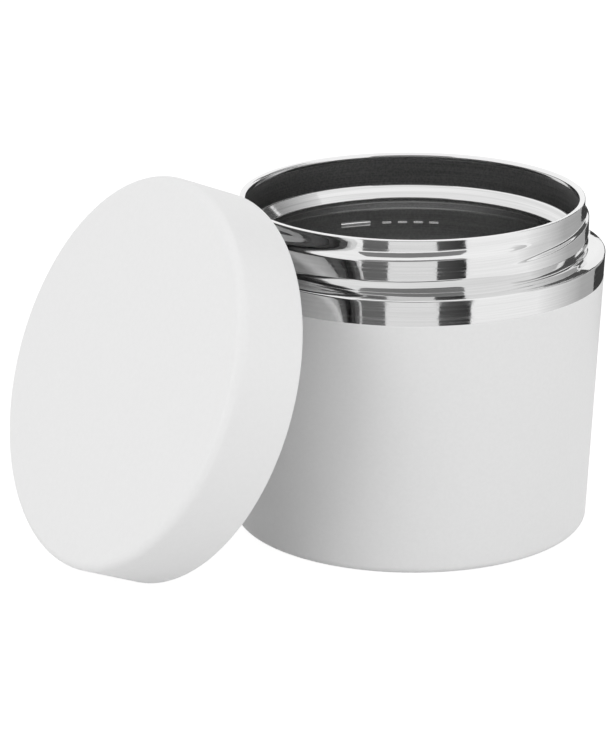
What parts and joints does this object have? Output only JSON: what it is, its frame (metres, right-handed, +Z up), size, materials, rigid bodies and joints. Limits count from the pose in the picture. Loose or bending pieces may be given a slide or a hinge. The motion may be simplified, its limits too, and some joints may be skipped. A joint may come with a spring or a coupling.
{
  "type": "insulated food jar",
  "caption": "Wide-mouth food jar with a double steel wall and a threaded neck; its insulated screw lid is off and leans on the jar.",
  "frame": {"origin": "on the jar's axis, in the plane of the foot that it stands on", "axes": "+Z up along the jar's axis, out of the mouth; -Y towards the viewer, with the lid leaning on the jar's front left"},
  "size_m": [0.1797, 0.1619, 0.116],
  "materials": {
    "powder_coat": "matte",
    "liner_steel": "satin",
    "polished_steel": "polished",
    "foil": "satin",
    "braze": "satin",
    "getter_alloy": "matte",
    "lid_white": "matte",
    "lid_inner": "satin",
    "foam": "matte",
    "silicone": "satin"
  },
  "bodies": {
    "jar": {"outer_shell": "powder_coat", "inner_liner": "liner_steel", "outer_base": "powder_coat", "vacuum_seal": "braze", "base_cover": "polished_steel", "heat_shield": "foil", "getter": "getter_alloy", "getter_clip": "polished_steel"},
    "lid": {"lid_cap": "lid_white", "lid_ring": "lid_inner", "lid_plug": "lid_inner", "lid_foam": "foam", "lid_gasket": "silicone"}
  },
  "joints": [
    {"name": "lid_lift", "type": "slide", "parent": "jar", "child": "lid", "axis": [0, 0, 1], "range_m": [0, 0.13]}
  ]
}
